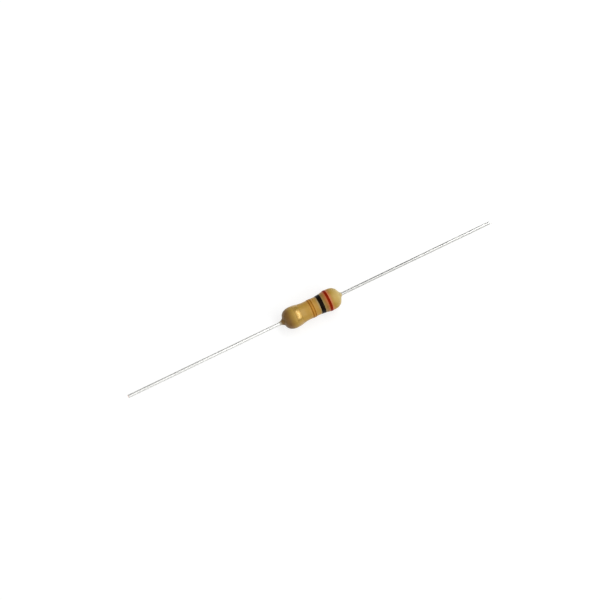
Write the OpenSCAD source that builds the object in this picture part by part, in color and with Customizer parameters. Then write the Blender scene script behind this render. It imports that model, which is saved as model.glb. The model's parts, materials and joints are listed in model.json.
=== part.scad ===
// Axial carbon film resistor of the half-watt size, every piece turned about the lead axis.
// X runs along the leads towards the first colour band and Z points up.
// The origin is the middle of the body, on the axis. Lengths are in millimetres.

/* [Rod] */
// Diameter of the ceramic rod
rod_d = 2.24; // [1.9:0.02:2.6]
// Length of the ceramic rod
rod_len = 7.6; // [6.6:0.1:9]

/* [Film] */
// Thickness of the carbon film, drawn far thicker than the real one
film_t = 0.03; // [0.02:0.005:0.05]
// Turns of the spiral cut that sets the resistance
cut_turns = 3; // [1:1:4]
// Width of the spiral cut
cut_w = 0.26; // [0.16:0.02:0.4]
// Depth of the spiral cut below the film, into the rod
cut_deep = 0.05; // [0.02:0.01:0.1]
// Film left whole between the spiral cut and the rim of a cap
cut_margin = 0.4; // [0.2:0.05:0.7]

/* [End caps] */
// Wall of a pressed end cap
cap_wall = 0.22; // [0.16:0.01:0.3]
// Length of rod that a cap covers
cap_grip = 1.9; // [1.5:0.05:2.3]
// Radius inside the corner of a cap
cap_fillet = 0.2; // [0.05:0.01:0.25]
// Widening of a cap's mouth, where the rod is pressed in
cap_mouth = 0.05; // [0.02:0.01:0.1]

/* [Leads] */
// Diameter of a lead wire
lead_d = 0.5; // [0.4:0.02:0.64]
// Length of a lead beyond its cap
lead_len = 25; // [8:0.5:30]
// Diameter of the weld between a lead and its cap
weld_d = 0.84; // [0.7:0.02:1]
// Length over which the weld thins down to the plain wire
weld_len = 0.45; // [0.2:0.05:0.5]
// Bevel at the cropped tip of a lead
tip_bevel = 0.05; // [0.02:0.01:0.1]

/* [Coat] */
// Lacquer over the side of the left cap
left_coat = 0.22; // [0.15:0.01:0.4]
// Lacquer over the side of the right cap
right_coat = 0.19; // [0.15:0.01:0.4]
// Lacquer over the film at the waist
waist_coat = 0.18; // [0.1:0.01:0.3]
// Lacquer beyond the end face of the left cap
left_end_coat = 0.35; // [0.3:0.05:0.6]
// Lacquer beyond the end face of the right cap, where more of it gathered
right_end_coat = 0.55; // [0.3:0.05:0.7]
// Length of the rounded part at each end of the body
dome_len = 1.62; // [1.3:0.02:2]
// Bluntness of the left dome's tip, where 2 is round and more is flatter
left_blunt = 3; // [2:0.1:3.4]
// Bluntness of the right dome's tip
right_blunt = 2.5; // [2:0.1:3.4]
// Lacquer over the corner of the left cap, where it is thinnest
left_corner_coat = 0.05; // [0.03:0.005:0.15]
// Lacquer over the corner of the right cap
right_corner_coat = 0.135; // [0.03:0.005:0.15]
// Length of the slope from the left bulge down to the waist
left_slope = 2.1; // [1:0.05:2.4]
// Length of the slope from the right bulge down to the waist
right_slope = 1.55; // [1:0.05:2.4]
// Distance from the rim of the left cap out to the middle of that slope
left_slope_out = -0.05; // [-0.15:0.05:0.1]
// Distance from the rim of the right cap out to the middle of that slope
right_slope_out = 0.05; // [-0.15:0.05:0.1]
// Distance that the lacquer creeps along the left lead
left_creep = 0.65; // [0.2:0.05:1.5]
// Distance that the lacquer creeps along the right lead
right_creep = 0.3; // [0.2:0.05:1.5]
// Thickness of the creeping lacquer where it leaves the left end
left_creep_t = 0.3; // [0.1:0.02:0.4]
// Thickness of the creeping lacquer where it leaves the right end
right_creep_t = 0.3; // [0.1:0.02:0.4]
// Thickness of the lacquer where it stops on a lead
creep_edge = 0.02; // [0.01:0.005:0.04]

/* [Colour bands] */
// Thickness of the paint in a band
paint_t = 0.035; // [0.02:0.005:0.06]
// Width of the red first band
red_w = 0.38; // [0.3:0.02:0.7]
// Width of the black second band
black_w = 0.62; // [0.3:0.02:0.8]
// Width of the gold multiplier band
multiplier_w = 0.56; // [0.3:0.02:0.8]
// Width of the gold tolerance band
tolerance_w = 0.88; // [0.3:0.02:1]
// Distance of the red band beyond the rim of the right cap
red_past_rim = 0.72; // [0.5:0.02:1.1]
// Distance from the red band to the black band
black_step = 1.18; // [1:0.02:1.5]
// Distance from the black band to the gold multiplier band
multiplier_step = 1.4; // [1:0.02:1.5]
// Distance of the gold tolerance band beyond the rim of the left cap
tolerance_past_rim = 0.24; // [-0.1:0.02:0.7]

/* [Fits] */
// Clearance between one piece and the piece that it sits on
seat_gap = 0.005; // [0.003:0.001:0.01]

/* [Hidden] */
$fn = 96;

// Radii, from the rod outwards
rod_r = rod_d / 2;
film_in = rod_r + seat_gap;
film_r = film_in + film_t;
bore_r = film_r + seat_gap;
cap_r = bore_r + cap_wall;
lead_r = lead_d / 2;
weld_r = weld_d / 2;
waist_r = film_r + seat_gap + waist_coat;

// Places along the axis, from the middle outwards
rod_end = rod_len / 2;
rod_bevel = cap_fillet + seat_gap;
cap_rim = rod_end - cap_grip;
cap_floor = rod_end + seat_gap;
cap_end = cap_floor + cap_wall;
cap_corner = cap_fillet + cap_wall;
lead_tip = cap_end + lead_len;
left_end = cap_end + left_end_coat;
right_end = cap_end + right_end_coat;
left_full = fullness(left_end_coat, left_coat, left_corner_coat, left_blunt);
right_full = fullness(right_end_coat, right_coat, right_corner_coat, right_blunt);

// Middles of the colour bands
red_x = cap_rim + red_past_rim;
black_x = red_x - black_step;
multiplier_x = black_x - multiplier_step;
tolerance_x = -cap_rim - tolerance_past_rim;

// How sharply the creeping lacquer turns into the dome
blend_power = 4;
// Share of the paint's thickness that is left at the two edges of a band
paint_edge = 0.4;
// How flat the paint is across a band before it falls to its edges
paint_power = 4;
// How far the spiral cutter stands out of the film
cutter_over = 0.1;

// Steps in the curved outlines
mid_steps = 40;
dome_steps = 14;
creep_steps = 7;
arc_steps = 6;
band_steps = 8;
cut_steps = 36;

function held(t) = min(max(t, 0), 1);
function ease(t) = let (h = held(t)) h * h * (3 - 2 * h);
function pick(x, left, right) = x < 0 ? left : right;
function flip(list) = [for (i = [len(list) - 1:-1:0]) list[i]];
function to_left(list) = [for (p = list) [p[0], -p[1]]];
function arc(r, x, radius, from, to) =
    [for (i = [0:arc_steps]) let (a = from + (to - from) * i / arc_steps)
        [r + radius * cos(a), x + radius * sin(a)]];

// Largest radius of the coat over a cap
function bulge_r(coat) = cap_r + seat_gap + coat;

// How full a dome's side is, where 2 is round. It is found so that the dome passes at corner_coat
// over the middle of the cap's rounded corner.
function fullness(end_coat, coat, corner_coat, blunt) =
    let (out = (cap_corner + corner_coat) * sin(45) - cap_corner,
        along = 1 - (end_coat - out) / dome_len,
        across = (cap_r + out) / bulge_r(coat))
    ln(1 - pow(across, blunt)) / ln(along);

// Radius of the coat at x: the waist rises to a bulge over each cap, each bulge ends in a
// rounded dome, and the dome runs out along the lead as a thin creeping skin.
function coat_r(x) =
    let (d = abs(x),
        slope_mid = cap_rim + pick(x, left_slope_out, right_slope_out),
        rise = ease((d - slope_mid) / pick(x, left_slope, right_slope) + 0.5),
        side_r = waist_r + (bulge_r(pick(x, left_coat, right_coat)) - waist_r) * rise,
        beyond = d - pick(x, left_end, right_end),
        t = held(1 + beyond / dome_len),
        full = pick(x, left_full, right_full),
        dome_r = side_r * pow(1 - pow(t, full), 1 / pick(x, left_blunt, right_blunt)),
        out = held(beyond / pick(x, left_creep, right_creep)),
        creep_t = pick(x, left_creep_t, right_creep_t) * pow(1 - out, 2),
        creep_r = t * (lead_r + seat_gap + creep_edge + creep_t))
    pow(pow(dome_r, blend_power) + pow(creep_r, blend_power), 1 / blend_power);

// Distance of outline point i from the middle, over a dome and then along the lead
function end_x(i, end, full, creep) = i <= dome_steps
    ? end - dome_len * (1 - pow(sin(90 * i / dome_steps), 2 / full))
    : end + creep * (i - dome_steps) / creep_steps;

function coat_outside() =
    let (last = dome_steps + creep_steps,
        low = dome_len - left_end,
        high = right_end - dome_len)
    [for (x = concat(
            [for (i = [last:-1:1]) -end_x(i, left_end, left_full, left_creep)],
            [for (i = [0:mid_steps]) low + (high - low) * i / mid_steps],
            [for (i = [1:last]) end_x(i, right_end, right_full, right_creep)]))
        [coat_r(x), x]];

// Hollow outline of a lead's weld, from the cap out to the plain wire
function weld_outline(grow) =
    [for (i = [0:arc_steps]) let (a = 90 * i / arc_steps)
        [weld_r + grow - (weld_r - lead_r) * sin(a),
            cap_end + grow + weld_len * (1 - cos(a))]];

// One half of the hollow in the coat: film, cap, weld and lead, each with its clearance
function coat_inside(coat_end) = concat(
    [[film_r + seat_gap, cap_rim - seat_gap], [cap_r + seat_gap, cap_rim - seat_gap]],
    arc(cap_r - cap_corner, cap_end - cap_corner, cap_corner + seat_gap, 0, 90),
    weld_outline(seat_gap),
    [[lead_r + seat_gap, coat_end]]);

// Thickness of the paint across a band, with s from -1 at one edge to 1 at the other
function paint(s) = paint_t * (paint_edge + (1 - paint_edge) * sqrt(1 - pow(s, paint_power)));

module turned(outline) {
    rotate([0, 90, 0]) rotate_extrude() polygon(outline);
}

module to_left_end() {
    mirror([1, 0, 0]) children();
}

// Cutter for the spiral: a square-cut groove that winds along the middle of the rod
module spiral_cut() {
    run = 2 * (cap_rim - cut_margin) - cut_w;
    steps = cut_turns * cut_steps;
    bottom = rod_r - cut_deep;
    top = film_r + cutter_over;
    section = [[bottom, -1], [top, -1], [top, 1], [bottom, 1]];
    points = [for (i = [0:steps], p = section)
        let (a = 360 * cut_turns * i / steps)
        [run * (i / steps - 0.5) + p[1] * cut_w / 2, p[0] * cos(a), p[0] * sin(a)]];
    sides = [for (i = [0:steps - 1], k = [0:3])
        let (a = 4 * i + k, b = 4 * i + (k + 1) % 4)
        each [[a, b + 4, a + 4], [a, b, b + 4]]];
    polyhedron(points, concat([[3, 2, 1, 0]], sides, [[for (k = [0:3]) 4 * steps + k]]));
}

module ceramic_rod() {
    edge_r = rod_r - rod_bevel;
    edge_x = rod_end - rod_bevel;
    color("ivory") difference() {
        turned([[0, -rod_end], [edge_r, -rod_end], [rod_r, -edge_x], [rod_r, edge_x],
            [edge_r, rod_end], [0, rod_end]]);
        spiral_cut();
    }
}

module carbon_film() {
    end = rod_end - rod_bevel;
    color("dimgray") difference() {
        turned([[film_in, -end], [film_r, -end], [film_r, end], [film_in, end]]);
        spiral_cut();
    }
}

module cap() {
    color("silver") turned(concat(
        [[bore_r + cap_mouth, cap_rim], [cap_r, cap_rim]],
        arc(cap_r - cap_corner, cap_end - cap_corner, cap_corner, 0, 90),
        [[0, cap_end], [0, cap_floor]],
        arc(bore_r - cap_fillet, cap_floor - cap_fillet, cap_fillet, 90, 0),
        [[bore_r, cap_rim + cap_mouth]]));
}

module lead() {
    color("gainsboro") turned(concat(
        [[0, cap_end]],
        weld_outline(0),
        [[lead_r, lead_tip - tip_bevel], [lead_r - tip_bevel, lead_tip], [0, lead_tip]]));
}

module left_cap() {
    to_left_end() cap();
}

module right_cap() {
    cap();
}

module left_lead() {
    to_left_end() lead();
}

module right_lead() {
    lead();
}

module lacquer_coat() {
    color("burlywood") turned(concat(
        coat_outside(),
        flip(coat_inside(right_end + right_creep)),
        to_left(coat_inside(left_end + left_creep))));
}

// A ring of paint that follows the coat, thinner at its two edges
module band(middle, width) {
    across = [for (i = [0:band_steps]) 2 * i / band_steps - 1];
    under = [for (s = across) let (x = middle + s * width / 2) [coat_r(x) + seat_gap, x]];
    over = [for (i = [0:band_steps]) [under[i][0] + paint(across[i]), under[i][1]]];
    turned(concat(over, flip(under)));
}

module red_band() {
    color("darkred") band(red_x, red_w);
}

module black_band() {
    color("black") band(black_x, black_w);
}

module gold_multiplier_band() {
    color("peru") band(multiplier_x, multiplier_w);
}

module gold_tolerance_band() {
    color("goldenrod") band(tolerance_x, tolerance_w);
}

ceramic_rod();
carbon_film();
left_cap();
right_cap();
left_lead();
right_lead();
lacquer_coat();
red_band();
black_band();
gold_multiplier_band();
gold_tolerance_band();
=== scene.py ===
# Looks of an axial carbon film resistor: lacquered body, four paint rings and two tinned leads.
# Formulas are in millimetres and meshes in metres. X runs along the leads towards the red ring.
import json
import math

import bmesh
import bpy
from mathutils import Matrix, Vector, noise


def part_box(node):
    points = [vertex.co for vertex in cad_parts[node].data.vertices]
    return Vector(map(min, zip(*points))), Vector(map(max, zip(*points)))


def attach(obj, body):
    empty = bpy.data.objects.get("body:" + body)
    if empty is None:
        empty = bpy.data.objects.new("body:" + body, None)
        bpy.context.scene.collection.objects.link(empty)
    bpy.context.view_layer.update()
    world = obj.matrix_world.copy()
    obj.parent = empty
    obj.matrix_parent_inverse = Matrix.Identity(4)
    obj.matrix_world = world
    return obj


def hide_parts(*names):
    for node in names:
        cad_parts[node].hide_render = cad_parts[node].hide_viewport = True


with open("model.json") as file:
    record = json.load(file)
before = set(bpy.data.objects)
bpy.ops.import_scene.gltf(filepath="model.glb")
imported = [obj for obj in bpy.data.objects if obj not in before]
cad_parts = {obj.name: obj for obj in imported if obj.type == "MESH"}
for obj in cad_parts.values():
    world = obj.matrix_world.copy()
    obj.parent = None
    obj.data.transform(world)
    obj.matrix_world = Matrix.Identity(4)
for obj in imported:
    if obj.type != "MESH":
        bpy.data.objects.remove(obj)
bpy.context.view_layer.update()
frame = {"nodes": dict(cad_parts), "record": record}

mm = 0.001
print("frame loaded:", ", ".join(sorted(frame["nodes"])))


# small helpers for nodes

# A node's output that can stand in a formula as a number does
class Field:
    def __init__(self, socket):
        self.socket = socket

    def __add__(self, other):
        return calc("ADD", self, other)

    def __sub__(self, other):
        return calc("SUBTRACT", self, other)

    def __rsub__(self, other):
        return calc("SUBTRACT", other, self)

    def __mul__(self, other):
        return calc("MULTIPLY", self, other)

    def __truediv__(self, other):
        return calc("DIVIDE", self, other)

    def __rtruediv__(self, other):
        return calc("DIVIDE", other, self)

    def __pow__(self, other):
        return calc("POWER", self, other)

    __radd__ = __add__
    __rmul__ = __mul__


def calc(operation, *values, clamp=False):
    tree = next(value.socket.id_data for value in values if isinstance(value, Field))
    made = tree.nodes.new("ShaderNodeMath")
    made.operation = operation
    made.use_clamp = clamp
    for socket, value in zip(made.inputs, values):
        plug(tree, socket, value)
    return Field(made.outputs[0])


def plug(tree, socket, value):
    if isinstance(value, Field):
        value = value.socket
    if isinstance(value, bpy.types.NodeSocket):
        tree.links.new(value, socket)
    elif socket.type == "RGBA" and len(value) == 3:
        socket.default_value = (*value, 1.0)
    else:
        socket.default_value = value


def addNode(tree, kind, inputs=None, **settings):
    made = tree.nodes.new(kind)
    for name, value in settings.items():
        setattr(made, name, value)
    for name, value in (inputs or {}).items():
        plug(tree, made.inputs[name], value)
    return made


def held(value):  # kept between 0 and 1
    return calc("ADD", value, 0.0, clamp=True)


def ease(value):  # smooth step from 0 to 1
    h = held(value)
    return h * h * (3.0 - 2.0 * h)


def pick(right, leftValue, rightValue):  # right is 1 on the right half of the body and 0 on the left
    return leftValue + right * (rightValue - leftValue)


def splitVector(tree, socket):
    parts = addNode(tree, "ShaderNodeSeparateXYZ", {0: socket})
    return [Field(out) for out in parts.outputs]


def joinVector(tree, x, y, z):
    return addNode(tree, "ShaderNodeCombineXYZ", {0: x, 1: y, 2: z}).outputs[0]


# Adds the named inputs and outputs of a node group and gives back its inputs as fields
def openGroup(tree, inputs, outputs):
    for name, (kind, value) in inputs.items():
        socket = tree.interface.new_socket(name=name, in_out="INPUT", socket_type="NodeSocket" + kind)
        if value is not None:
            socket.default_value = value
    for name, kind in outputs.items():
        tree.interface.new_socket(name=name, in_out="OUTPUT", socket_type="NodeSocket" + kind)
    given = tree.nodes.new("NodeGroupInput")
    return {name: Field(given.outputs[name]) for name in inputs}


def closeGroup(tree, outputs):
    addNode(tree, "NodeGroupOutput", outputs)


# body sizes, as the construction has them

coat = {
    "waistCoat": 0.18,  # lacquer over the film
    "domeLen": 1.62,  # length of each rounded end
    "creepEdge": 0.02,  # thickness of the lacquer where it stops on a lead
    "capCorner": 0.42,  # outer radius of a cap's corner
    "seatGap": 0.005,  # clearance to what it covers
    "blendPower": 4.0,  # how sharply the creeping skin turns into the dome
    "lumpHeight": 0.01,  # how far the dipped surface wanders
    "lumpSize": 1.3,  # from one swell to the next, roughly
    "calmOver": 0.5,  # length before a lead over which the wandering stops
    "sag": 0.008,  # lacquer that ran to one side before it set
    "seed": 4.0,
    "ringsAlong": 260,
    "stepsAround": 168,
    "hollowSteps": 6,  # in each rounded corner of the hollow
}
ends = {  # what differs at the two ends of the body
    "left": {
        "coat": 0.22,  # lacquer over the side of the cap
        "endCoat": 0.35,  # beyond the cap's end
        "cornerCoat": 0.05,  # over the cap's corner, where it is thinnest
        "blunt": 3.0,  # bluntness of the dome's tip, where 2 is round
        "slope": 2.1,  # length of the slope down to the waist
        "slopeOut": -0.05,  # from the cap's rim out to the middle of the slope
        "creep": 0.65,  # lacquer along the lead
        "creepT": 0.3,  # its thickness where it leaves the dome
    },
    "right": {
        "coat": 0.19, "endCoat": 0.55, "cornerCoat": 0.135, "blunt": 2.5,
        "slope": 1.55, "slopeOut": 0.05, "creep": 0.3, "creepT": 0.3,
    },
}

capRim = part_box("right_cap")[0].x / mm
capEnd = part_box("right_cap")[1].x / mm
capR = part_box("right_cap")[1].z / mm
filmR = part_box("carbon_film")[1].z / mm
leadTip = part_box("right_lead")[1].x / mm
leadR = frame["record"]["mounts"][0]["dims"]["r_mm"]

gap = coat["seatGap"]
waistR = filmR + gap + coat["waistCoat"]


# Fullness of a dome's side at which it passes at cornerCoat over the cap's rounded corner
def domeFullness(end):
    corner = coat["capCorner"]
    out = (corner + end["cornerCoat"]) * math.sin(math.radians(45)) - corner
    along = 1 - (end["endCoat"] - out) / coat["domeLen"]
    across = (capR + out) / end["bulgeR"]
    return math.log(1 - across ** end["blunt"]) / math.log(along)


for end in ends.values():
    end["bulgeR"] = capR + gap + end["coat"]
    end["slopeMid"] = capRim + end["slopeOut"]
    end["domeEnd"] = capEnd + end["endCoat"]
    end["domeStart"] = end["domeEnd"] - coat["domeLen"]
    end["full"] = domeFullness(end)


# geometry node trees

# Radius of the lacquer at x and turn: waist, bulges, domes and the skin that creeps along the leads
def buildCoatShape():
    tree = bpy.data.node_groups.new("coatShape", "GeometryNodeTree")
    sizes = {
        "waistR": waistR, "domeLen": coat["domeLen"], "thinR": leadR + gap + coat["creepEdge"],
        "lumpHeight": coat["lumpHeight"], "lumpSize": coat["lumpSize"],
        "sag": coat["sag"], "seed": coat["seed"],
    }
    for side, end in ends.items():
        for key in ("bulgeR", "slopeMid", "slope", "domeEnd", "full", "blunt", "creep", "creepT"):
            sizes[side + " " + key] = end[key]
    inputs = {"x": ("Float", 0.0), "turn": ("Float", 0.0)}
    inputs.update({name: ("Float", value) for name, value in sizes.items()})
    given = openGroup(tree, inputs, {"radius": "Float"})
    x, turn = given["x"], given["turn"]
    fromMiddle = calc("ABSOLUTE", x)
    right = calc("GREATER_THAN", x, 0.0)

    def here(key):  # the size at this end of the body
        return pick(right, given["left " + key], given["right " + key])

    rise = ease((fromMiddle - here("slopeMid")) / here("slope") + 0.5)
    sideR = given["waistR"] + (here("bulgeR") - given["waistR"]) * rise
    beyond = fromMiddle - here("domeEnd")
    overDome = held(1.0 + beyond / given["domeLen"])
    domeR = sideR * held(1.0 - overDome ** here("full")) ** (1.0 / here("blunt"))
    overCreep = held(beyond / here("creep"))
    creepR = overDome * (given["thinR"] + here("creepT") * (1.0 - overCreep) ** 2.0)
    power = coat["blendPower"]
    plain = (domeR**power + creepR**power) ** (1.0 / power)
    # the dipped surface wanders a little, and not where it meets a lead
    side, up = calc("SINE", turn), calc("COSINE", turn)
    size = given["lumpSize"]
    spot = joinVector(tree, x / size, side * given["waistR"] / size, up * given["waistR"] / size)
    lumps = addNode(tree, "ShaderNodeTexNoise", {
        "Vector": spot, "W": given["seed"], "Scale": 1.0, "Detail": 1.5}, noise_dimensions="4D")
    fade = ease(0.0 - beyond / coat["calmOver"])
    wander = (Field(lumps.outputs[0]) * 2.0 - 1.0) * given["lumpHeight"] - up * given["sag"]
    closeGroup(tree, {"radius": plain + wander * fade})
    return tree


def coatRadius(tree, coatShape, x, turn):
    made = addNode(tree, "GeometryNodeGroup", node_tree=coatShape)
    plug(tree, made.inputs["x"], x)
    plug(tree, made.inputs["turn"], turn)
    return Field(made.outputs["radius"])


# A unit grid, which the trees below bend round the X axis
def gridFields(tree, given):
    grid = addNode(tree, "GeometryNodeMeshGrid", {
        "Size X": 1.0, "Size Y": 1.0,
        "Vertices X": given["ringsAlong"], "Vertices Y": given["stepsAround"]})
    at = splitVector(tree, addNode(tree, "GeometryNodeInputPosition").outputs[0])
    return grid.outputs[0], at[0] + 0.5, (at[1] + 0.5) * math.tau


def wrapGrid(tree, mesh, x, radius, turn):
    y, z = calc("SINE", turn) * radius, calc("COSINE", turn) * radius
    place = joinVector(tree, x * mm, y * mm, z * mm)
    return addNode(tree, "GeometryNodeSetPosition", {"Geometry": mesh, "Position": place}).outputs[0]


mergeWithin = 0.0002  # closes the seams and the poles


def finishTree(tree, mesh, material):
    merged = addNode(tree, "GeometryNodeMergeByDistance", {
        "Geometry": mesh, "Distance": mergeWithin * mm})
    smooth = addNode(tree, "GeometryNodeSetShadeSmooth", {"Geometry": merged.outputs[0]})
    solid = addNode(tree, "GeometryNodeRealizeInstances", {"Geometry": smooth.outputs[0]})
    painted = addNode(tree, "GeometryNodeSetMaterial", {
        "Geometry": solid.outputs[0], "Material": material})
    closeGroup(tree, {"Geometry": painted.outputs[0]})


# The lacquer's skin, wrapped round the hollow that the object already holds
def buildLacquerTree(coatShape):
    tree = bpy.data.node_groups.new("lacquerSkin", "GeometryNodeTree")
    given = openGroup(tree, {
        "Geometry": ("Geometry", None),
        "ringsAlong": ("Int", coat["ringsAlong"]), "stepsAround": ("Int", coat["stepsAround"] + 1),
        "sideShare": ("Float", 0.56),  # share of the rings on the sides, between the domes
        "domeShare": ("Float", 0.38),  # share of the rings on the two domes
        "material": ("Material", None)}, {"Geometry": "Geometry"})
    mesh, along, turn = gridFields(tree, given)
    share = along * 2.0 - 1.0  # from -1 at the left end to 1 at the right end
    fromMiddle = calc("ABSOLUTE", share)
    right = calc("GREATER_THAN", share, 0.0)
    sideShare, domeShare = given["sideShare"], given["domeShare"]

    def here(key):
        return pick(right, ends["left"][key], ends["right"][key])

    sideX = calc("MINIMUM", fromMiddle / sideShare, 1.0) * here("domeStart")
    overDome = held((fromMiddle - sideShare) / domeShare)
    domeX = calc("SINE", overDome * (math.pi / 2)) ** (2.0 / here("full")) * coat["domeLen"]
    overCreep = held((fromMiddle - sideShare - domeShare) / (1.0 - sideShare - domeShare))
    creepX = overCreep * here("creep")
    x = calc("SIGN", share) * (sideX + domeX + creepX)
    skin = wrapGrid(tree, mesh, x, coatRadius(tree, coatShape, x, turn), turn)
    both = addNode(tree, "GeometryNodeJoinGeometry")
    tree.links.new(given["Geometry"].socket, both.inputs[0])
    tree.links.new(skin, both.inputs[0])
    finishTree(tree, both.outputs[0], given["material"])
    return tree


ringSection = {  # how the paint's section is rounded
    "flatness": 6.0,  # how flat its top is before it falls to its edges
    "beadPower": 4.0,  # how close to the edges the beads stand
}


# A ring of paint: rounded, a little higher at its two edges, with edges that waver round the body
def buildRingTree(coatShape):
    tree = bpy.data.node_groups.new("paintRing", "GeometryNodeTree")
    given = openGroup(tree, {
        "Geometry": ("Geometry", None),
        "middle": ("Float", 0.0), "width": ("Float", 0.6), "thickness": ("Float", 0.035),
        "bead": ("Float", 0.3),  # how much higher the paint stands at its edges
        "crown": ("Float", 0.0),  # how far its section is a smooth arch instead of flat
        "sink": ("Float", 0.003),  # how far its underside lies in the lacquer
        "waver": ("Float", 0.02), "waverSize": ("Float", 0.9), "seed": ("Float", 1.0),
        "tilt": ("Float", 0.0),  # how far the ring leans along the body at its top
        "ringsAlong": ("Int", 49), "stepsAround": ("Int", 241),
        "material": ("Material", None)}, {"Geometry": "Geometry"})
    mesh, along, turn = gridFields(tree, given)
    swing = 1.0 - 4.0 * calc("ABSOLUTE", along - 0.5)  # from -1 to 1 over the top, and back below
    across = calc("SINE", swing * (math.pi / 2))
    below = calc("GREATER_THAN", along, 0.5)

    def waverOf(shift):  # wavers round the ring and meets itself, in another way for each shift
        size = given["waverSize"]
        spot = joinVector(tree, calc("SINE", turn) * waistR / size,
                          calc("COSINE", turn) * waistR / size, given["seed"] + shift)
        made = addNode(tree, "ShaderNodeTexNoise", {"Vector": spot, "Scale": 1.0, "Detail": 3.0})
        return (Field(made.outputs[0]) * 2.0 - 1.0) * given["waver"]

    lean = given["tilt"] * calc("COSINE", turn)
    x = given["middle"] + lean + waverOf(0.0) + across * (given["width"] * 0.5 + waverOf(7.3))
    rounded = (1.0 - calc("ABSOLUTE", across) ** ringSection["flatness"]) ** 0.5
    flat = rounded * (1.0 + given["bead"] * across ** ringSection["beadPower"])
    top = (flat + given["crown"] * (1.0 - across * across - flat)) * given["thickness"]
    under = (across * across - 1.0) * given["sink"]
    radius = coatRadius(tree, coatShape, x, turn) + pick(below, top, under)
    marked = addNode(tree, "GeometryNodeStoreNamedAttribute", {
        "Geometry": mesh, "Name": "across", "Value": across}, data_type="FLOAT", domain="POINT")
    ring = wrapGrid(tree, marked.outputs[0], x, radius, turn)
    finishTree(tree, ring, given["material"])
    return tree


# Runs a tree on a mesh and keeps its result as a plain mesh
def makeFromTree(name, tree, mesh, values):
    rough = bpy.data.objects.new(name + "Rough", mesh)
    bpy.context.scene.collection.objects.link(rough)
    modifier = rough.modifiers.new(tree.name, "NODES")
    modifier.node_group = tree
    for socket in tree.interface.items_tree:
        if socket.in_out == "INPUT" and socket.name in values:
            modifier[socket.identifier] = values[socket.name]
    graph = bpy.context.evaluated_depsgraph_get()
    done = bpy.data.meshes.new_from_object(rough.evaluated_get(graph), depsgraph=graph)
    rough.modifiers.clear()
    bpy.data.objects.remove(rough)
    done.name = name
    piece = bpy.data.objects.new(name, done)
    bpy.context.scene.collection.objects.link(piece)
    print(f"{name}: {len(done.polygons)} faces")
    return piece


# meshes turned in code

# Turns (x, r) points round the X axis. A radius of 0 closes an end with one point.
def turnedMesh(name, outline, steps, shape=None):
    bm = bmesh.new()
    rings = []
    for x, r in outline:
        count = steps if r > 0 else 1
        ring = []
        for k in range(count):
            turn = math.tau * k / steps
            spot = Vector((x, r * math.sin(turn), r * math.cos(turn)))
            ring.append(bm.verts.new((shape(spot) if shape else spot) * mm))
        rings.append(ring)
    for one, two in zip(rings, rings[1:]):
        for k in range(steps):
            corners = [one[k % len(one)], two[k % len(two)],
                       two[(k + 1) % len(two)], one[(k + 1) % len(one)]]
            corners = [c for i, c in enumerate(corners) if c not in corners[:i]]
            if len(corners) > 2:
                bm.faces.new(corners)
    for face in bm.faces:
        face.smooth = True
    mesh = bpy.data.meshes.new(name)
    bm.to_mesh(mesh)
    bm.free()
    return mesh


# materials

def blend(tree, share, one, two):
    made = addNode(tree, "ShaderNodeMix", {0: share}, data_type="RGBA")
    plug(tree, made.inputs[6], one)
    plug(tree, made.inputs[7], two)
    return made.outputs[2]


def rampOf(tree, share, stops):
    made = addNode(tree, "ShaderNodeValToRGB", {0: share})
    points = made.color_ramp.elements
    points.remove(points[1])
    for i, (place, colour) in enumerate(stops):
        point = points.new(place) if i else points[0]
        point.position = place
        point.color = (*colour, 1.0)
    return made.outputs[0]


# Slow patches, fine specks and a height, from places in millimetres
def buildFinishGroup():
    tree = bpy.data.node_groups.new("handFinish", "ShaderNodeTree")
    given = openGroup(tree, {
        "Vector": ("Vector", None), "patchSize": ("Float", 1.0), "grainSize": ("Float", 0.1),
        "stretch": ("Float", 1.0), "grainHeight": ("Float", 0.3), "seed": ("Float", 0.0)},
        {"Patches": "Float", "Grain": "Float", "Height": "Float"})
    x, y, z = splitVector(tree, given["Vector"].socket)
    spot = joinVector(tree, x / given["stretch"], y, z)

    def noiseOf(size, seed, detail):
        made = addNode(tree, "ShaderNodeTexNoise", {
            "Vector": spot, "W": seed, "Scale": 1.0 / size, "Detail": detail}, noise_dimensions="4D")
        return Field(made.outputs[0])

    patches = noiseOf(given["patchSize"], given["seed"], 3.0)
    grain = noiseOf(given["grainSize"], given["seed"] + 3.0, 2.0)
    closeGroup(tree, {
        "Patches": patches, "Grain": grain, "Height": patches + grain * given["grainHeight"]})
    return tree


handFinish = buildFinishGroup()
finishMix = {
    "patchShare": 0.6,  # how much the patches count for the roughness, beside the grain
    "noiseFrom": 0.3, "noiseTo": 0.7,  # the noise is mostly within these
}


# Starts a material: its tree, its shader, places in millimetres and the finish group on them
def startMaterial(name, settings):
    material = bpy.data.materials.new(name)
    material.use_nodes = True
    tree = material.node_tree
    shader = tree.nodes["Principled BSDF"]
    places = addNode(tree, "ShaderNodeTexCoord").outputs["Object"]
    inMm = addNode(tree, "ShaderNodeVectorMath", {0: places, 1: (1 / mm, 1 / mm, 1 / mm)},
                   operation="MULTIPLY").outputs[0]
    finish = addNode(tree, "ShaderNodeGroup", node_tree=handFinish)
    plug(tree, finish.inputs["Vector"], inMm)
    for key in ("patchSize", "grainSize", "stretch", "grainHeight", "seed"):
        if key in settings:
            finish.inputs[key].default_value = settings[key]
    return material, tree, shader, inMm, finish


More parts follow.
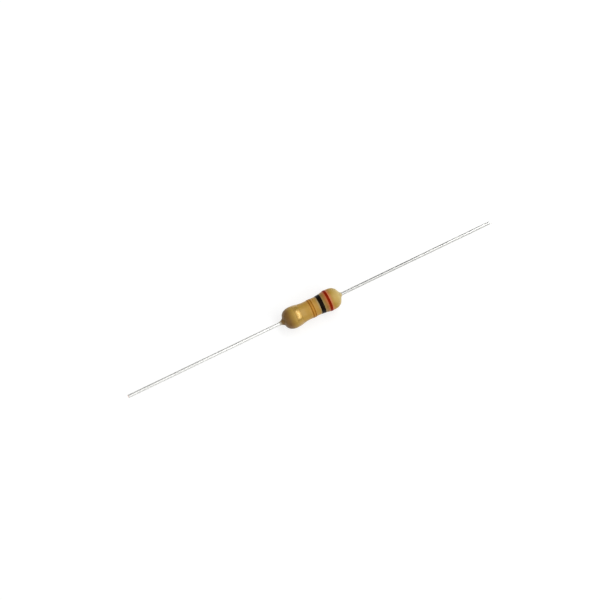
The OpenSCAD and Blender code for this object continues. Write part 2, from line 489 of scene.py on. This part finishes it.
def roughen(tree, shader, finish, settings):  # shine, and roughness and bump from the finish
    shader.inputs["Specular IOR Level"].default_value = settings.get("shine", 0.5)
    low, high = settings["roughness"]
    patches, grain = Field(finish.outputs["Patches"]), Field(finish.outputs["Grain"])
    spread = addNode(tree, "ShaderNodeMapRange", {
        "Value": patches * finishMix["patchShare"] + grain * (1.0 - finishMix["patchShare"]),
        "From Min": finishMix["noiseFrom"], "From Max": finishMix["noiseTo"],
        "To Min": low, "To Max": high})
    plug(tree, shader.inputs["Roughness"], spread.outputs[0])
    bump = addNode(tree, "ShaderNodeBump", {
        "Height": finish.outputs["Height"],
        "Strength": settings["bump"], "Distance": settings["depth"] * mm})
    plug(tree, shader.inputs["Normal"], bump.outputs[0])


# The look's two colours, mixed by the slow patches
def twoTones(tree, finish, look, start=0.35, sharpness=2.5):
    share = held((Field(finish.outputs["Patches"]) - start) * sharpness)
    return blend(tree, share, look["colour"], look["second"])


# in every look, patchSize, grainSize and depth are in millimetres, and roughness is its least and most
lacquerLook = {
    "tones": {  # colour at places along the body, in millimetres from its middle
        -4.4: (0.19, 0.1, 0.018),  # darker and browner towards the left end, at the dome that faces away from the key lamp: partly painted shade, partly the lacquer's own browner tone
        -3.7: (0.2, 0.095, 0.014),
        -2.7: (0.48, 0.295, 0.046),
        1.1: (0.51, 0.265, 0.034),
        2.1: (0.3, 0.165, 0.027),  # stained by the red and the black
        3.2: (0.46, 0.27, 0.028),
        4.4: (0.66, 0.5, 0.18),  # paler towards the right end: painted light on the right dome, which faces the key lamp
    },
    "bleedRagged": 0.8,  # how unevenly the paint bled
    "bleeds": {  # paint that bled out of three rings, and how far, in millimetres
        "gold_multiplier_band": {
            "inner": (0.6, 0.3, 0.05), "outer": (0.64, 0.33, 0.07), "reach": 0.35, "share": 0.6},
        "black_band": {
            "inner": (0.32, 0.26, 0.13), "outer": (0.3, 0.22, 0.1), "reach": 0.35, "share": 0.65},
        "red_band": {
            "inner": (0.5, 0.135, 0.038), "outer": (0.62, 0.2, 0.075), "reach": 0.5, "share": 0.95},
    },
    "thin": {"colour": (0.75, 0.72, 0.6), "from": 4.58, "over": 0.42, "share": 0.65},  # over the leads
    "stain": {"colour": (0.26, 0.12, 0.02), "from": 0.52, "sharpness": 3.0, "share": 0.45},  # in patches
    "speck": {"from": 0.35, "sharpness": 2.0, "dark": 0.9, "light": 1.06},  # shade of the fine grain
    "patchSize": 0.9, "grainSize": 0.07, "grainHeight": 0.25, "seed": 2.0,
    "roughness": (0.34, 0.5), "bump": 0.5, "depth": 0.02, "shine": 0.32,
}


def makeLacquer():
    look = lacquerLook
    material, tree, shader, inMm, finish = startMaterial("tanLacquer", look)
    x = splitVector(tree, inMm)[0]
    low, high = min(look["tones"]), max(look["tones"])
    along = addNode(tree, "ShaderNodeMapRange", {"Value": x, "From Min": low, "From Max": high})
    # the tones hold painted shade towards the left end and painted light towards the right end
    tone = rampOf(tree, along.outputs[0], [
        ((place - low) / (high - low), colour) for place, colour in look["tones"].items()])
    patches, grain = Field(finish.outputs["Patches"]), Field(finish.outputs["Grain"])
    for nodeName, bleed in look["bleeds"].items():
        low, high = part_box(nodeName)
        middle = (low.x + high.x) / 2 / mm
        beyond = calc("ABSOLUTE", x - middle) - (high.x - low.x) / 2 / mm
        ragged = (patches - 0.5) * look["bleedRagged"]
        share = ease(1.0 - beyond / bleed["reach"] + ragged) * bleed["share"]
        bled = blend(tree, calc("GREATER_THAN", x, middle), bleed["inner"], bleed["outer"])
        tone = blend(tree, share, tone, bled)
    thin, stain, speck = look["thin"], look["stain"], look["speck"]
    thinShare = ease((calc("ABSOLUTE", x) - thin["from"]) / thin["over"]) * thin["share"]
    tone = blend(tree, thinShare, tone, thin["colour"])
    stainShare = held((patches - stain["from"]) * stain["sharpness"]) * stain["share"]
    tone = blend(tree, stainShare, tone, stain["colour"])
    shade = addNode(tree, "ShaderNodeMapRange", {
        "Value": held((grain - speck["from"]) * speck["sharpness"]),
        "To Min": speck["dark"], "To Max": speck["light"]})
    shaded = addNode(tree, "ShaderNodeVectorMath", {
        0: tone, "Scale": shade.outputs[0]}, operation="SCALE")
    plug(tree, shader.inputs["Base Color"], shaded.outputs[0])
    roughen(tree, shader, finish, look)
    return material


goldFlakes = {  # metal flakes in the two copies of the gold paint
    "from": 0.3, "sharpness": 2.2,  # how the fine grain gathers them
    "share": 0.3,  # of the metal that comes and goes with the grain
    "lostAtRim": 0.8,  # share that the rim colour hides
}


def makePaint(name, look):
    material, tree, shader, inMm, finish = startMaterial(name, look)
    across = Field(addNode(tree, "ShaderNodeAttribute", attribute_name="across").outputs["Fac"])
    patches, grain = Field(finish.outputs["Patches"]), Field(finish.outputs["Grain"])
    toned = twoTones(tree, finish, look)
    ragged = (patches - 0.5) * look["ragged"]
    fromRim = calc("ABSOLUTE", calc("ABSOLUTE", across) + ragged - look["rimAt"])
    rim = held((1.0 - fromRim / look["rimWidth"]) * look["rimSharp"])
    edged = blend(tree, rim * look["rimShare"], toned, look["rim"])
    plug(tree, shader.inputs["Base Color"], edged)
    if "metal" in look:
        gathered = held((grain - goldFlakes["from"]) * goldFlakes["sharpness"])
        flakes = gathered * goldFlakes["share"] + (1.0 - goldFlakes["share"])
        metal = flakes * look["metal"] * (1.0 - rim * goldFlakes["lostAtRim"])
        plug(tree, shader.inputs["Metallic"], metal)
    if "coat" in look:
        shader.inputs["Coat Weight"].default_value = look["coat"]
        shader.inputs["Coat Roughness"].default_value = look["coatRoughness"]
    roughen(tree, shader, finish, look)
    return material


# across a ring its middle is 0 and its edges are 1: rimAt and rimWidth place its stripe of rim colour
redLook = {
    "colour": (0.23, 0.009, 0.0001), "second": (0.29, 0.018, 0.0004), "rim": (0.42, 0.07, 0.015),
    "rimAt": 1.0, "rimWidth": 0.3, "rimSharp": 1.5, "rimShare": 0.6, "ragged": 0.3,
    "patchSize": 0.4, "grainSize": 0.05, "grainHeight": 0.3, "seed": 5.0,
    "roughness": (0.28, 0.42), "bump": 0.4, "depth": 0.012, "shine": 0.03,
}
blackLook = {
    "colour": (0.005, 0.002, 0.0002), "second": (0.009, 0.004, 0.0008), "rim": (0.03, 0.02, 0.008),
    "rimAt": 1.0, "rimWidth": 0.08, "rimSharp": 2.0, "rimShare": 0.4, "ragged": 0.3,
    "patchSize": 0.5, "grainSize": 0.05, "grainHeight": 0.3, "seed": 6.0,
    "roughness": (0.3, 0.45), "bump": 0.4, "depth": 0.012, "shine": 0.07,
}
# One gold paint in two copies: the multiplier ring's is a painted-shade copy, darker and more orange
# with little metal, and the tolerance ring's is a painted-light copy, yellower and more metallic, so
# that it catches the key lamp
goldShadedCopyLook = {
    "colour": (0.47, 0.215, 0.03), "second": (0.54, 0.265, 0.04), "rim": (0.3, 0.115, 0.004),
    "rimAt": 0.7, "rimWidth": 0.5, "rimSharp": 1.3, "rimShare": 1.0, "ragged": 0.2,
    "metal": 0.15, "patchSize": 0.5, "grainSize": 0.035, "grainHeight": 0.5, "seed": 7.0,
    "roughness": (0.34, 0.5), "bump": 0.45, "depth": 0.012, "shine": 0.1,
}
goldLitCopyLook = {
    "colour": (0.45, 0.27, 0.045), "second": (0.5, 0.305, 0.055), "rim": (0.41, 0.22, 0.032),
    "rimAt": 1.0, "rimWidth": 0.3, "rimSharp": 1.2, "rimShare": 0.9, "ragged": 0.3,
    "metal": 0.46, "patchSize": 0.5, "grainSize": 0.035, "grainHeight": 0.5, "seed": 8.0,
    "roughness": (0.28, 0.38), "bump": 0.4, "depth": 0.008, "shine": 0.3,
    "coat": 0.5, "coatRoughness": 0.22,  # the binder that floats up over the flakes
}

tinLook = {
    "colour": (0.78, 0.78, 0.76), "second": (0.66, 0.66, 0.64), "copper": (0.72, 0.32, 0.18),
    "coreShare": 0.9,  # share of the wire's radius that is copper
    "coreRagged": 0.06, "cutDepth": 0.035,  # its uneven edge, and how far in from the tip it shows
    "patchSize": 0.5, "grainSize": 0.03, "stretch": 9.0, "grainHeight": 0.4, "seed": 9.0,
    "bump": 0.35, "depth": 0.006,
    "leftRoughness": (0.34, 0.48), "rightRoughness": (0.14, 0.28),  # the left wire is duller
}


def makeTin(side):
    look = dict(tinLook, roughness=tinLook[side + "Roughness"])
    material, tree, shader, inMm, finish = startMaterial(side + "Tin", look)
    x, y, z = splitVector(tree, inMm)
    fromAxis = (y * y + z * z) ** 0.5
    ragged = (Field(finish.outputs["Patches"]) - 0.5) * look["coreRagged"]
    tin = twoTones(tree, finish, look, start=0.4, sharpness=3.0)
    atTip = calc("GREATER_THAN", calc("ABSOLUTE", x), leadTip - look["cutDepth"])
    inCore = calc("LESS_THAN", fromAxis + ragged, leadR * look["coreShare"])
    plug(tree, shader.inputs["Base Color"], blend(tree, atTip * inCore, tin, look["copper"]))
    shader.inputs["Metallic"].default_value = 1.0
    roughen(tree, shader, finish, look)
    return material


plainLooks = {  # pieces that the lacquer hides
    "ceramic_rod": {
        "colour": (0.82, 0.79, 0.72), "second": (0.74, 0.7, 0.62), "metal": 0.0,
        "patchSize": 0.8, "grainSize": 0.06, "grainHeight": 0.6, "seed": 11.0,
        "roughness": (0.6, 0.8), "bump": 0.5, "depth": 0.015},
    "carbon_film": {
        "colour": (0.03, 0.03, 0.032), "second": (0.055, 0.052, 0.05), "metal": 0.0,
        "patchSize": 0.6, "grainSize": 0.05, "grainHeight": 0.5, "seed": 12.0,
        "roughness": (0.38, 0.6), "bump": 0.4, "depth": 0.01},
    "left_cap": {
        "colour": (0.66, 0.65, 0.62), "second": (0.52, 0.5, 0.47), "metal": 1.0,
        "patchSize": 0.7, "grainSize": 0.04, "grainHeight": 0.4, "seed": 13.0,
        "roughness": (0.25, 0.42), "bump": 0.4, "depth": 0.01},
}
plainLooks["right_cap"] = dict(plainLooks["left_cap"], seed=14.0)


def makePlain(name, look):
    material, tree, shader, inMm, finish = startMaterial(name, look)
    plug(tree, shader.inputs["Base Color"], twoTones(tree, finish, look))
    shader.inputs["Metallic"].default_value = look["metal"]
    roughen(tree, shader, finish, look)
    return material


# leads

leadWire = {
    "weldR": 0.42,  # of the weld on the cap
    "weldLen": 0.45,
    "weldSteps": 8,
    "bevel": 0.05,  # at the cropped tip
    "bevelSteps": 4,
    "faceRing": 0.45,  # ring on the tip's face, as a share of the radius
    "shear": 0.03,  # how far the cutter left the tip slanted
    "ringEvery": 0.22,
    "steps": 56,
    "unevenness": 0.003,  # of the dipped tin
    "runLength": 1.6,  # of its slow runs along the wire
    "runsAround": 4,  # how often they change round it
}


# Quarter turn of a weld, from where it is widest to the plain wire
def weldOutline(grow, steps):
    weldR, weldLen = leadWire["weldR"], leadWire["weldLen"]
    points = []
    for i in range(steps + 1):
        angle = math.radians(90 * i / steps)
        points.append((capEnd + grow + weldLen * (1 - math.cos(angle)),
                       weldR + grow - (weldR - leadR) * math.sin(angle)))
    return points


def leadOutline():
    bevel = leadWire["bevel"]
    points = [(capEnd, 0.0)] + weldOutline(0.0, leadWire["weldSteps"])
    start, end = capEnd + leadWire["weldLen"], leadTip - bevel
    count = round((end - start) / leadWire["ringEvery"])
    points += [(start + (end - start) * i / count, leadR) for i in range(1, count + 1)]
    for i in range(1, leadWire["bevelSteps"] + 1):
        angle = math.radians(90 * i / leadWire["bevelSteps"])
        points.append((end + bevel * math.sin(angle), leadR - bevel * (1 - math.cos(angle))))
    points.append((leadTip, leadR * leadWire["faceRing"]))
    points.append((leadTip, 0.0))
    return points


def makeLead(name, sign, seed):
    def dipped(spot):
        runs = leadWire["runsAround"]
        around = Vector((spot.x / leadWire["runLength"], spot.y * runs + seed, spot.z * runs))
        swell = 1 + leadWire["unevenness"] / leadR * noise.noise(around)
        nearTip = spot.x > leadTip - leadWire["bevel"] * 2
        shear = leadWire["shear"] * spot.z / leadR if nearTip else 0.0
        return Vector((sign * (spot.x - abs(shear)), sign * spot.y * swell, spot.z * swell))

    mesh = turnedMesh(name, leadOutline(), leadWire["steps"], dipped)
    piece = bpy.data.objects.new(name, mesh)
    bpy.context.scene.collection.objects.link(piece)
    print(f"{name}: {len(mesh.polygons)} faces")
    return piece


# the hollow in the lacquer: film, caps, welds and leads, each with its clearance

def hollowOutline():
    corner, steps = coat["capCorner"], coat["hollowSteps"]
    half = [(capRim - gap, filmR + gap), (capRim - gap, capR + gap)]
    for i in range(steps + 1):
        angle = math.radians(90 * i / steps)
        half.append((capEnd - corner + (corner + gap) * math.sin(angle),
                     capR - corner + (corner + gap) * math.cos(angle)))
    half += weldOutline(gap, steps)

    def ended(side):
        x = ends[side]["domeEnd"] + ends[side]["creep"]
        return half + [(x, leadR + gap), (x, leadR + gap + coat["creepEdge"])]

    return ended("right")[::-1] + [(-x, r) for x, r in ended("left")]


# build the pieces

def takePlace(piece, nodeName, material):
    piece.data.materials.clear()
    piece.data.materials.append(material)
    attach(piece, "root")
    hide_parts(nodeName)


coatShape = buildCoatShape()
lacquerTree = buildLacquerTree(coatShape)
lacquer = makeLacquer()
hollow = turnedMesh("hollow", hollowOutline(), coat["stepsAround"])
lacquerCoat = makeFromTree("lacquerCoat", lacquerTree, hollow, {"material": lacquer})
takePlace(lacquerCoat, "lacquer_coat", lacquer)

rings = {  # how each ring of paint was laid on
    "redBand": {
        "node": "red_band", "slot": "red_paint", "look": redLook,
        "laid": {"waver": 0.022, "bead": 0.25, "seed": 1.0}},
    "blackBand": {
        "node": "black_band", "slot": "black_paint", "look": blackLook,
        "laid": {"waver": 0.025, "bead": 0.25, "seed": 12.0, "tilt": 0.03}},
    "goldMultiplierBand": {
        "node": "gold_multiplier_band", "slot": "gold_paint", "look": goldShadedCopyLook,
        "laid": {"waver": 0.03, "bead": 0.5, "seed": 23.0, "tilt": 0.03}},
    "goldToleranceBand": {
        "node": "gold_tolerance_band", "slot": "gold_paint", "look": goldLitCopyLook,
        "laid": {"waver": 0.03, "bead": 0.0, "crown": 0.85, "seed": 34.0, "tilt": -0.05}},
}

ringTree = buildRingTree(coatShape)
for name, ring in rings.items():
    low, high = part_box(ring["node"])
    paint = makePaint(name + "Paint", ring["look"])
    values = {"middle": (low.x + high.x) / 2 / mm, "width": (high.x - low.x) / mm, "material": paint}
    values.update(ring["laid"])
    piece = makeFromTree(name, ringTree, bpy.data.meshes.new(name + "Start"), values)
    takePlace(piece, ring["node"], paint)

takePlace(makeLead("leftLead", -1, 3.0), "left_lead", makeTin("left"))
takePlace(makeLead("rightLead", 1, 8.0), "right_lead", makeTin("right"))

for nodeName, look in plainLooks.items():
    mesh = frame["nodes"][nodeName].data
    mesh.materials.clear()
    mesh.materials.append(makePlain(nodeName + "Finish", look))
print("materials made:", len(bpy.data.materials))


# floor, world, lamps and camera

studio = {
    "floorGap": 0.012,  # under the widest bulge, in millimetres
    "floorHalf": 3.0,  # metres
    "floorGlow": 0.74,  # light of its own that only camera, mirror and glass rays see
    "floorShade": 0.32,  # what the lamps and shadows add for those rays
    "floorTone": 0.8,  # how pale it is for the light that it throws back
    "skyLight": 0.32,
    "lampDistance": 0.5,  # metres
    # soft boxes: the direction that each shines from, watts, and its width and length in metres
    "lamps": {
        "keyLamp": {"from": (0.47, -0.28, 0.835), "power": 2.85, "size": (0.07, 1.3)},
        "backLamp": {"from": (-0.5, 0.65, 0.55), "power": 0.32, "size": (0.3, 0.3)},
        "frontLamp": {"from": (-0.6, -0.65, 0.5), "power": 0.27, "size": (0.3, 0.3)},
    },
    # upright cards that only reflections see: place along Y, from and to along X, and height, in metres
    "cards": {
        "backLeftCard": {"y": 0.1, "x": (-0.3, 0.014), "high": 0.4, "tone": 0.08},
        "backRightCard": {"y": 0.07, "x": (0.018, 0.051), "high": 0.5, "tone": 0.0},
        "frontLeftCard": {"y": -0.12, "x": (-0.3, 0.025), "high": 0.08, "tone": 0.42},
        "frontRightCard": {"y": -0.12, "x": (0.025, 0.3), "high": 0.08, "tone": 0.0},
    },
}


def seenDirectly(tree):  # 1 for camera, mirror and glass rays
    path = addNode(tree, "ShaderNodeLightPath")
    rays = [Field(path.outputs[n]) for n in ("Is Camera Ray", "Is Glossy Ray", "Is Transmission Ray")]
    return calc("MAXIMUM", calc("MAXIMUM", rays[0], rays[1]), rays[2])


def makeFloor():
    half = studio["floorHalf"]
    z = -(ends["left"]["bulgeR"] + studio["floorGap"]) * mm
    mesh = bpy.data.meshes.new("floor")
    corners = [(-half, -half, z), (half, -half, z), (half, half, z), (-half, half, z)]
    mesh.from_pydata(corners, [], [(0, 1, 2, 3)])
    floor = bpy.data.objects.new("floor", mesh)
    bpy.context.scene.collection.objects.link(floor)
    material = bpy.data.materials.new("paleFloor")
    material.use_nodes = True
    tree = material.node_tree
    tree.nodes.remove(tree.nodes["Principled BSDF"])
    thrown = addNode(tree, "ShaderNodeBsdfDiffuse", {"Color": [studio["floorTone"]] * 3})
    shade = addNode(tree, "ShaderNodeBsdfDiffuse", {"Color": [studio["floorShade"]] * 3})
    glow = addNode(tree, "ShaderNodeEmission", {"Strength": studio["floorGlow"]})
    seen = addNode(tree, "ShaderNodeAddShader", {0: shade.outputs[0], 1: glow.outputs[0]})
    mixed = addNode(tree, "ShaderNodeMixShader", {
        0: seenDirectly(tree), 1: thrown.outputs[0], 2: seen.outputs[0]})
    plug(tree, tree.nodes["Material Output"].inputs["Surface"], mixed.outputs[0])
    mesh.materials.append(material)


# A card that darkens a part of what the shiny pieces reflect
def makeCard(name, card):
    (left, right), y, top = card["x"], card["y"], card["high"]
    mesh = bpy.data.meshes.new(name)
    corners = [(left, y, 0), (right, y, 0), (right, y, top), (left, y, top)]
    mesh.from_pydata(corners, [], [(0, 1, 2, 3)])
    material = bpy.data.materials.new(name)
    material.use_nodes = True
    tree = material.node_tree
    shader = tree.nodes["Principled BSDF"]
    plug(tree, shader.inputs["Base Color"], [card["tone"]] * 3)
    plug(tree, shader.inputs["Roughness"], 1.0)
    mesh.materials.append(material)
    piece = bpy.data.objects.new(name, mesh)
    bpy.context.scene.collection.objects.link(piece)
    piece.visible_camera = piece.visible_diffuse = piece.visible_shadow = False


def makeWorld():
    world = bpy.data.worlds.new("studio")
    bpy.context.scene.world = world
    world.use_nodes = True
    tree = world.node_tree
    tree.nodes.clear()
    light = addNode(tree, "ShaderNodeBackground", {"Color": (1, 1, 1), "Strength": studio["skyLight"]})
    white = addNode(tree, "ShaderNodeBackground", {"Color": (1, 1, 1), "Strength": 1.0})
    mixed = addNode(tree, "ShaderNodeMixShader", {
        0: seenDirectly(tree), 1: light.outputs[0], 2: white.outputs[0]})
    addNode(tree, "ShaderNodeOutputWorld", {"Surface": mixed.outputs[0]})


# A soft box whose long side lies square to the leads
def makeLamp(name, lamp):
    light = bpy.data.lights.new(name, "AREA")
    light.shape = "RECTANGLE"
    light.size, light.size_y = lamp["size"]
    light.energy = lamp["power"]
    holder = bpy.data.objects.new(name, light)
    towards = Vector(lamp["from"]).normalized()
    across = towards.cross(Vector((1.0, 0.0, 0.0))).normalized()
    turned = Matrix((across.cross(towards), across, towards)).transposed()
    holder.location = towards * studio["lampDistance"]
    holder.rotation_mode = "QUATERNION"
    holder.rotation_quaternion = turned.to_quaternion()
    bpy.context.scene.collection.objects.link(holder)


photoView = {
    "frame": 600,  # pixels of the photograph, each way
    "bodyAt": (311.06, 308.63),  # pixel of the middle of the body
    "tipToTip": 402.5,  # pixels between the ends of the leads
    "azimuth": -26.8, "elevation": 72.0,  # degrees
    "distance": 0.46, "sensor": 36.0,
}


def makeCamera():
    around, above = math.radians(photoView["azimuth"]), math.radians(photoView["elevation"])
    level = math.cos(above)
    back = Vector((math.sin(around) * level, -math.cos(around) * level, math.sin(above)))
    right = Vector((math.cos(around), math.sin(around), 0.0))
    up = back.cross(right)
    seenLength = 2 * leadTip * mm * math.sqrt(1 - back.x**2)
    pixel = seenLength / photoView["tipToTip"]
    offX = photoView["bodyAt"][0] - photoView["frame"] / 2
    offY = photoView["bodyAt"][1] - photoView["frame"] / 2
    camera = bpy.data.cameras.new("camera")
    camera.sensor_width = photoView["sensor"]
    camera.lens = photoView["sensor"] * photoView["distance"] / (photoView["frame"] * pixel)
    camera.clip_start, camera.clip_end = 0.01, 20.0
    holder = bpy.data.objects.new("camera", camera)
    holder.location = back * photoView["distance"] - right * offX * pixel + up * offY * pixel
    holder.rotation_mode = "QUATERNION"
    holder.rotation_quaternion = back.to_track_quat("Z", "Y")
    bpy.context.scene.collection.objects.link(holder)
    bpy.context.scene.camera = holder
    print(f"camera: lens {camera.lens:.1f} mm, {pixel / mm:.4f} mm a pixel")


makeFloor()
for name, card in studio["cards"].items():
    makeCard(name, card)
makeWorld()
for name, lamp in studio["lamps"].items():
    makeLamp(name, lamp)
print("studio set:", len(studio["cards"]), "cards and", len(studio["lamps"]), "lamps")
makeCamera()
bpy.context.scene.view_settings.view_transform = "Standard"
